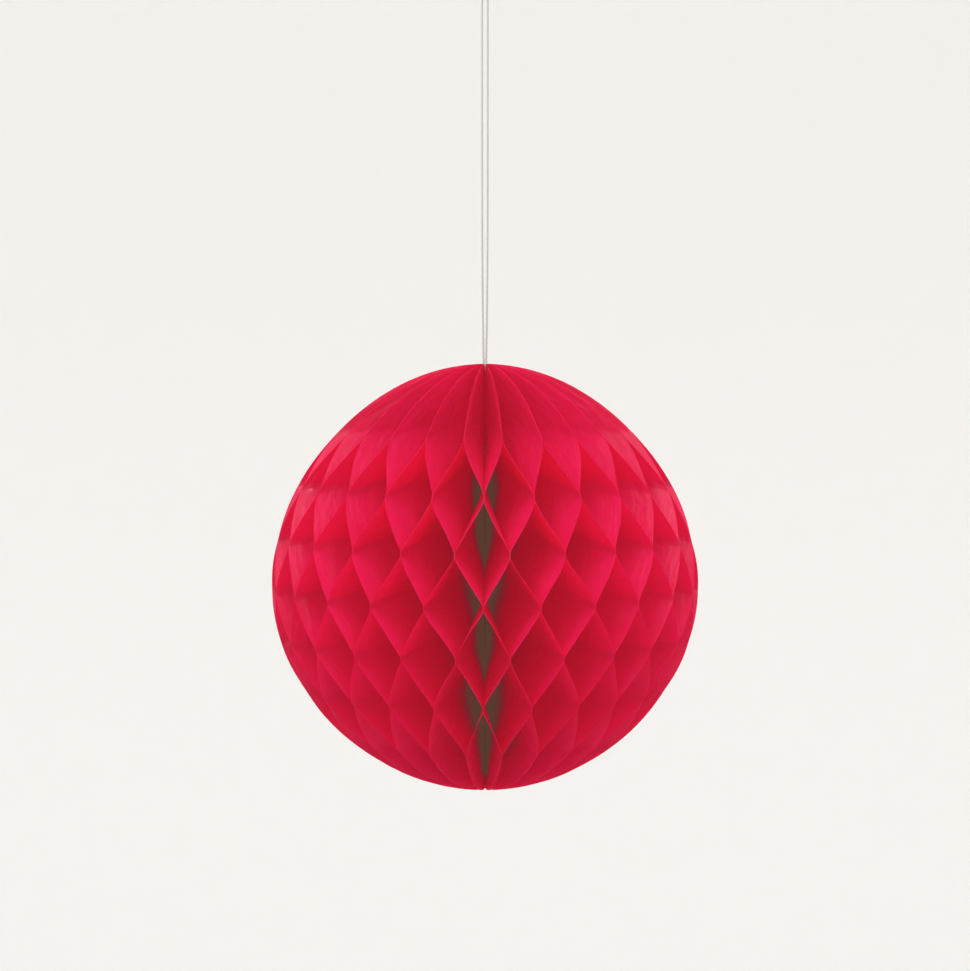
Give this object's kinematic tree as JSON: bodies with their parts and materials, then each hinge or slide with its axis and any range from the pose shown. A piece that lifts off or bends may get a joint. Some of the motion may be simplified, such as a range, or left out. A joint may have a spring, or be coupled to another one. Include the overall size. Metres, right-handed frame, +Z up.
{
  "type": "paper honeycomb ball",
  "caption": "Round hanging paper ball of fanned honeycomb tissue leaves between two card covers, with a thin string loop.",
  "frame": {"origin": "inside of the string loop at its top, where a hook bears", "axes": "+Z up along the string and the spine, +Y towards the seam where the two cover boards meet, +X to the right seen from the side away from the seam"},
  "size_m": [0.2028, 0.2028, 0.3841],
  "materials": {
    "tissue": "thin crimson tissue paper, slightly glazed, with fine creases along the leaf",
    "cover_card": "crimson card, matt, with a paler cut edge",
    "tape": "double-sided tape, milky white",
    "thread": "twisted crimson binding thread",
    "string": "thin twisted white string"
  },
  "bodies": {
    "hanging_string": {"hanging_loop": "string", "string_knot": "string"},
    "top_knot": {"spine_knot_top": "thread"},
    "ball_spine": {"cover_board_left": "cover_card", "tape_strip_upper": "tape", "tape_strip_lower": "tape", "spine_thread": "thread", "spine_knot_bottom": "thread"},
    "right_board": {"cover_board_right": "cover_card"},
    "leaf_01": {"tissue_leaf_01": "tissue"},
    "leaf_02": {"tissue_leaf_02": "tissue"},
    "leaf_03": {"tissue_leaf_03": "tissue"},
    "leaf_04": {"tissue_leaf_04": "tissue"},
    "leaf_05": {"tissue_leaf_05": "tissue"},
    "leaf_06": {"tissue_leaf_06": "tissue"},
    "leaf_07": {"tissue_leaf_07": "tissue"},
    "leaf_08": {"tissue_leaf_08": "tissue"},
    "leaf_09": {"tissue_leaf_09": "tissue"},
    "leaf_10": {"tissue_leaf_10": "tissue"},
    "leaf_11": {"tissue_leaf_11": "tissue"},
    "leaf_12": {"tissue_leaf_12": "tissue"},
    "leaf_13": {"tissue_leaf_13": "tissue"},
    "leaf_14": {"tissue_leaf_14": "tissue"},
    "leaf_15": {"tissue_leaf_15": "tissue"},
    "leaf_16": {"tissue_leaf_16": "tissue"},
    "leaf_17": {"tissue_leaf_17": "tissue"},
    "leaf_18": {"tissue_leaf_18": "tissue"},
    "leaf_19": {"tissue_leaf_19": "tissue"},
    "leaf_20": {"tissue_leaf_20": "tissue"},
    "leaf_21": {"tissue_leaf_21": "tissue"},
    "leaf_22": {"tissue_leaf_22": "tissue"},
    "leaf_23": {"tissue_leaf_23": "tissue"},
    "leaf_24": {"tissue_leaf_24": "tissue"},
    "leaf_25": {"tissue_leaf_25": "tissue"},
    "leaf_26": {"tissue_leaf_26": "tissue"},
    "leaf_27": {"tissue_leaf_27": "tissue"},
    "leaf_28": {"tissue_leaf_28": "tissue"},
    "leaf_29": {"tissue_leaf_29": "tissue"},
    "leaf_30": {"tissue_leaf_30": "tissue"},
    "leaf_31": {"tissue_leaf_31": "tissue"},
    "leaf_32": {"tissue_leaf_32": "tissue"},
    "leaf_33": {"tissue_leaf_33": "tissue"},
    "leaf_34": {"tissue_leaf_34": "tissue"},
    "leaf_35": {"tissue_leaf_35": "tissue"},
    "leaf_36": {"tissue_leaf_36": "tissue"},
    "leaf_37": {"tissue_leaf_37": "tissue"},
    "leaf_38": {"tissue_leaf_38": "tissue"},
    "leaf_39": {"tissue_leaf_39": "tissue"},
    "leaf_40": {"tissue_leaf_40": "tissue"},
    "leaf_41": {"tissue_leaf_41": "tissue"},
    "leaf_42": {"tissue_leaf_42": "tissue"},
    "leaf_43": {"tissue_leaf_43": "tissue"},
    "leaf_44": {"tissue_leaf_44": "tissue"},
    "leaf_45": {"tissue_leaf_45": "tissue"},
    "leaf_46": {"tissue_leaf_46": "tissue"},
    "leaf_47": {"tissue_leaf_47": "tissue"},
    "leaf_48": {"tissue_leaf_48": "tissue"}
  },
  "joints": [
    {"name": "spin_on_string", "type": "hinge", "parent": "hanging_string", "child": "top_knot", "pos_m": [0, 0, -0.18475], "axis": [0, 0, 1], "continuous": true},
    {"name": "tilt_on_string", "type": "hinge", "parent": "top_knot", "child": "ball_spine", "pos_m": [0, 0, -0.18475], "axis": [0, 1, 0], "range_deg": [-20, 20]},
    {"name": "fold", "type": "hinge", "parent": "ball_spine", "child": "right_board", "pos_m": [0, 0, -0.2816], "axis": [0, 0, -1], "range_deg": [0, 351.89]},
    {"name": "leaf_01_turn", "type": "hinge", "parent": "ball_spine", "child": "leaf_01", "pos_m": [0, 0, -0.2816], "axis": [0, 0, -1], "range_deg": [0, 1.59]},
    {"name": "leaf_02_turn", "type": "hinge", "parent": "ball_spine", "child": "leaf_02", "pos_m": [0, 0, -0.2816], "axis": [0, 0, -1], "range_deg": [0, 9.02]},
    {"name": "leaf_03_turn", "type": "hinge", "parent": "ball_spine", "child": "leaf_03", "pos_m": [0, 0, -0.2816], "axis": [0, 0, -1], "range_deg": [0, 16.43]},
    {"name": "leaf_04_turn", "type": "hinge", "parent": "ball_spine", "child": "leaf_04", "pos_m": [0, 0, -0.2816], "axis": [0, 0, -1], "range_deg": [0, 23.86]},
    {"name": "leaf_05_turn", "type": "hinge", "parent": "ball_spine", "child": "leaf_05", "pos_m": [0, 0, -0.2816], "axis": [0, 0, -1], "range_deg": [0, 31.27]},
    {"name": "leaf_06_turn", "type": "hinge", "parent": "ball_spine", "child": "leaf_06", "pos_m": [0, 0, -0.2816], "axis": [0, 0, -1], "range_deg": [0, 38.7]},
    {"name": "leaf_07_turn", "type": "hinge", "parent": "ball_spine", "child": "leaf_07", "pos_m": [0, 0, -0.2816], "axis": [0, 0, -1], "range_deg": [0, 46.12]},
    {"name": "leaf_08_turn", "type": "hinge", "parent": "ball_spine", "child": "leaf_08", "pos_m": [0, 0, -0.2816], "axis": [0, 0, -1], "range_deg": [0, 53.53]},
    {"name": "leaf_09_turn", "type": "hinge", "parent": "ball_spine", "child": "leaf_09", "pos_m": [0, 0, -0.2816], "axis": [0, 0, -1], "range_deg": [0, 60.95]},
    {"name": "leaf_10_turn", "type": "hinge", "parent": "ball_spine", "child": "leaf_10", "pos_m": [0, 0, -0.2816], "axis": [0, 0, -1], "range_deg": [0, 68.38]},
    {"name": "leaf_11_turn", "type": "hinge", "parent": "ball_spine", "child": "leaf_11", "pos_m": [0, 0, -0.2816], "axis": [0, 0, -1], "range_deg": [0, 75.8]},
    {"name": "leaf_12_turn", "type": "hinge", "parent": "ball_spine", "child": "leaf_12", "pos_m": [0, 0, -0.2816], "axis": [0, 0, -1], "range_deg": [0, 83.22]},
    {"name": "leaf_13_turn", "type": "hinge", "parent": "ball_spine", "child": "leaf_13", "pos_m": [0, 0, -0.2816], "axis": [0, 0, -1], "range_deg": [0, 90.64]},
    {"name": "leaf_14_turn", "type": "hinge", "parent": "ball_spine", "child": "leaf_14", "pos_m": [0, 0, -0.2816], "axis": [0, 0, -1], "range_deg": [0, 98.06]},
    {"name": "leaf_15_turn", "type": "hinge", "parent": "ball_spine", "child": "leaf_15", "pos_m": [0, 0, -0.2816], "axis": [0, 0, -1], "range_deg": [0, 105.47]},
    {"name": "leaf_16_turn", "type": "hinge", "parent": "ball_spine", "child": "leaf_16", "pos_m": [0, 0, -0.2816], "axis": [0, 0, -1], "range_deg": [0, 112.89]},
    {"name": "leaf_17_turn", "type": "hinge", "parent": "ball_spine", "child": "leaf_17", "pos_m": [0, 0, -0.2816], "axis": [0, 0, -1], "range_deg": [0, 120.31]},
    {"name": "leaf_18_turn", "type": "hinge", "parent": "ball_spine", "child": "leaf_18", "pos_m": [0, 0, -0.2816], "axis": [0, 0, -1], "range_deg": [0, 127.73]},
    {"name": "leaf_19_turn", "type": "hinge", "parent": "ball_spine", "child": "leaf_19", "pos_m": [0, 0, -0.2816], "axis": [0, 0, -1], "range_deg": [0, 135.16]},
    {"name": "leaf_20_turn", "type": "hinge", "parent": "ball_spine", "child": "leaf_20", "pos_m": [0, 0, -0.2816], "axis": [0, 0, -1], "range_deg": [0, 142.57]},
    {"name": "leaf_21_turn", "type": "hinge", "parent": "ball_spine", "child": "leaf_21", "pos_m": [0, 0, -0.2816], "axis": [0, 0, -1], "range_deg": [0, 150]},
    {"name": "leaf_22_turn", "type": "hinge", "parent": "ball_spine", "child": "leaf_22", "pos_m": [0, 0, -0.2816], "axis": [0, 0, -1], "range_deg": [0, 157.41]},
    {"name": "leaf_23_turn", "type": "hinge", "parent": "ball_spine", "child": "leaf_23", "pos_m": [0, 0, -0.2816], "axis": [0, 0, -1], "range_deg": [0, 164.84]},
    {"name": "leaf_24_turn", "type": "hinge", "parent": "ball_spine", "child": "leaf_24", "pos_m": [0, 0, -0.2816], "axis": [0, 0, -1], "range_deg": [0, 172.25]},
    {"name": "leaf_25_turn", "type": "hinge", "parent": "ball_spine", "child": "leaf_25", "pos_m": [0, 0, -0.2816], "axis": [0, 0, -1], "range_deg": [0, 179.68]},
    {"name": "leaf_26_turn", "type": "hinge", "parent": "ball_spine", "child": "leaf_26", "pos_m": [0, 0, -0.2816], "axis": [0, 0, -1], "range_deg": [0, 187.09]},
    {"name": "leaf_27_turn", "type": "hinge", "parent": "ball_spine", "child": "leaf_27", "pos_m": [0, 0, -0.2816], "axis": [0, 0, -1], "range_deg": [0, 194.51]},
    {"name": "leaf_28_turn", "type": "hinge", "parent": "ball_spine", "child": "leaf_28", "pos_m": [0, 0, -0.2816], "axis": [0, 0, -1], "range_deg": [0, 201.94]},
    {"name": "leaf_29_turn", "type": "hinge", "parent": "ball_spine", "child": "leaf_29", "pos_m": [0, 0, -0.2816], "axis": [0, 0, -1], "range_deg": [0, 209.35]},
    {"name": "leaf_30_turn", "type": "hinge", "parent": "ball_spine", "child": "leaf_30", "pos_m": [0, 0, -0.2816], "axis": [0, 0, -1], "range_deg": [0, 216.78]},
    {"name": "leaf_31_turn", "type": "hinge", "parent": "ball_spine", "child": "leaf_31", "pos_m": [0, 0, -0.2816], "axis": [0, 0, -1], "range_deg": [0, 224.19]},
    {"name": "leaf_32_turn", "type": "hinge", "parent": "ball_spine", "child": "leaf_32", "pos_m": [0, 0, -0.2816], "axis": [0, 0, -1], "range_deg": [0, 231.62]},
    {"name": "leaf_33_turn", "type": "hinge", "parent": "ball_spine", "child": "leaf_33", "pos_m": [0, 0, -0.2816], "axis": [0, 0, -1], "range_deg": [0, 239.03]},
    {"name": "leaf_34_turn", "type": "hinge", "parent": "ball_spine", "child": "leaf_34", "pos_m": [0, 0, -0.2816], "axis": [0, 0, -1], "range_deg": [0, 246.46]},
    {"name": "leaf_35_turn", "type": "hinge", "parent": "ball_spine", "child": "leaf_35", "pos_m": [0, 0, -0.2816], "axis": [0, 0, -1], "range_deg": [0, 253.88]},
    {"name": "leaf_36_turn", "type": "hinge", "parent": "ball_spine", "child": "leaf_36", "pos_m": [0, 0, -0.2816], "axis": [0, 0, -1], "range_deg": [0, 261.3]},
    {"name": "leaf_37_turn", "type": "hinge", "parent": "ball_spine", "child": "leaf_37", "pos_m": [0, 0, -0.2816], "axis": [0, 0, -1], "range_deg": [0, 268.71]},
    {"name": "leaf_38_turn", "type": "hinge", "parent": "ball_spine", "child": "leaf_38", "pos_m": [0, 0, -0.2816], "axis": [0, 0, -1], "range_deg": [0, 276.13]},
    {"name": "leaf_39_turn", "type": "hinge", "parent": "ball_spine", "child": "leaf_39", "pos_m": [0, 0, -0.2816], "axis": [0, 0, -1], "range_deg": [0, 283.56]},
    {"name": "leaf_40_turn", "type": "hinge", "parent": "ball_spine", "child": "leaf_40", "pos_m": [0, 0, -0.2816], "axis": [0, 0, -1], "range_deg": [0, 290.98]},
    {"name": "leaf_41_turn", "type": "hinge", "parent": "ball_spine", "child": "leaf_41", "pos_m": [0, 0, -0.2816], "axis": [0, 0, -1], "range_deg": [0, 298.39]},
    {"name": "leaf_42_turn", "type": "hinge", "parent": "ball_spine", "child": "leaf_42", "pos_m": [0, 0, -0.2816], "axis": [0, 0, -1], "range_deg": [0, 305.81]},
    {"name": "leaf_43_turn", "type": "hinge", "parent": "ball_spine", "child": "leaf_43", "pos_m": [0, 0, -0.2816], "axis": [0, 0, -1], "range_deg": [0, 313.24]},
    {"name": "leaf_44_turn", "type": "hinge", "parent": "ball_spine", "child": "leaf_44", "pos_m": [0, 0, -0.2816], "axis": [0, 0, -1], "range_deg": [0, 320.65]},
    {"name": "leaf_45_turn", "type": "hinge", "parent": "ball_spine", "child": "leaf_45", "pos_m": [0, 0, -0.2816], "axis": [0, 0, -1], "range_deg": [0, 328.07]},
    {"name": "leaf_46_turn", "type": "hinge", "parent": "ball_spine", "child": "leaf_46", "pos_m": [0, 0, -0.2816], "axis": [0, 0, -1], "range_deg": [0, 335.5]},
    {"name": "leaf_47_turn", "type": "hinge", "parent": "ball_spine", "child": "leaf_47", "pos_m": [0, 0, -0.2816], "axis": [0, 0, -1], "range_deg": [0, 342.92]},
    {"name": "leaf_48_turn", "type": "hinge", "parent": "ball_spine", "child": "leaf_48", "pos_m": [0, 0, -0.2816], "axis": [0, 0, -1], "range_deg": [0, 350.33]}
  ],
  "couplings": [
    {"joint": "leaf_01_turn", "follows": "fold", "ratio": 0.0044758},
    {"joint": "leaf_02_turn", "follows": "fold", "ratio": 0.025562},
    {"joint": "leaf_03_turn", "follows": "fold", "ratio": 0.046648},
    {"joint": "leaf_04_turn", "follows": "fold", "ratio": 0.067734},
    {"joint": "leaf_05_turn", "follows": "fold", "ratio": 0.08882},
    {"joint": "leaf_06_turn", "follows": "fold", "ratio": 0.10991},
    {"joint": "leaf_07_turn", "follows": "fold", "ratio": 0.13099},
    {"joint": "leaf_08_turn", "follows": "fold", "ratio": 0.15208},
    {"joint": "leaf_09_turn", "follows": "fold", "ratio": 0.17316},
    {"joint": "leaf_10_turn", "follows": "fold", "ratio": 0.19425},
    {"joint": "leaf_11_turn", "follows": "fold", "ratio": 0.21534},
    {"joint": "leaf_12_turn", "follows": "fold", "ratio": 0.23642},
    {"joint": "leaf_13_turn", "follows": "fold", "ratio": 0.25751},
    {"joint": "leaf_14_turn", "follows": "fold", "ratio": 0.2786},
    {"joint": "leaf_15_turn", "follows": "fold", "ratio": 0.29968},
    {"joint": "leaf_16_turn", "follows": "fold", "ratio": 0.32077},
    {"joint": "leaf_17_turn", "follows": "fold", "ratio": 0.34185},
    {"joint": "leaf_18_turn", "follows": "fold", "ratio": 0.36294},
    {"joint": "leaf_19_turn", "follows": "fold", "ratio": 0.38403},
    {"joint": "leaf_20_turn", "follows": "fold", "ratio": 0.40511},
    {"joint": "leaf_21_turn", "follows": "fold", "ratio": 0.4262},
    {"joint": "leaf_22_turn", "follows": "fold", "ratio": 0.44728},
    {"joint": "leaf_23_turn", "follows": "fold", "ratio": 0.46837},
    {"joint": "leaf_24_turn", "follows": "fold", "ratio": 0.48946},
    {"joint": "leaf_25_turn", "follows": "fold", "ratio": 0.51054},
    {"joint": "leaf_26_turn", "follows": "fold", "ratio": 0.53163},
    {"joint": "leaf_27_turn", "follows": "fold", "ratio": 0.55272},
    {"joint": "leaf_28_turn", "follows": "fold", "ratio": 0.5738},
    {"joint": "leaf_29_turn", "follows": "fold", "ratio": 0.59489},
    {"joint": "leaf_30_turn", "follows": "fold", "ratio": 0.61597},
    {"joint": "leaf_31_turn", "follows": "fold", "ratio": 0.63706},
    {"joint": "leaf_32_turn", "follows": "fold", "ratio": 0.65815},
    {"joint": "leaf_33_turn", "follows": "fold", "ratio": 0.67923},
    {"joint": "leaf_34_turn", "follows": "fold", "ratio": 0.70032},
    {"joint": "leaf_35_turn", "follows": "fold", "ratio": 0.7214},
    {"joint": "leaf_36_turn", "follows": "fold", "ratio": 0.74249},
    {"joint": "leaf_37_turn", "follows": "fold", "ratio": 0.76358},
    {"joint": "leaf_38_turn", "follows": "fold", "ratio": 0.78466},
    {"joint": "leaf_39_turn", "follows": "fold", "ratio": 0.80575},
    {"joint": "leaf_40_turn", "follows": "fold", "ratio": 0.82684},
    {"joint": "leaf_41_turn", "follows": "fold", "ratio": 0.84792},
    {"joint": "leaf_42_turn", "follows": "fold", "ratio": 0.86901},
    {"joint": "leaf_43_turn", "follows": "fold", "ratio": 0.89009},
    {"joint": "leaf_44_turn", "follows": "fold", "ratio": 0.91118},
    {"joint": "leaf_45_turn", "follows": "fold", "ratio": 0.93227},
    {"joint": "leaf_46_turn", "follows": "fold", "ratio": 0.95335},
    {"joint": "leaf_47_turn", "follows": "fold", "ratio": 0.97444},
    {"joint": "leaf_48_turn", "follows": "fold", "ratio": 0.99552}
  ]
}
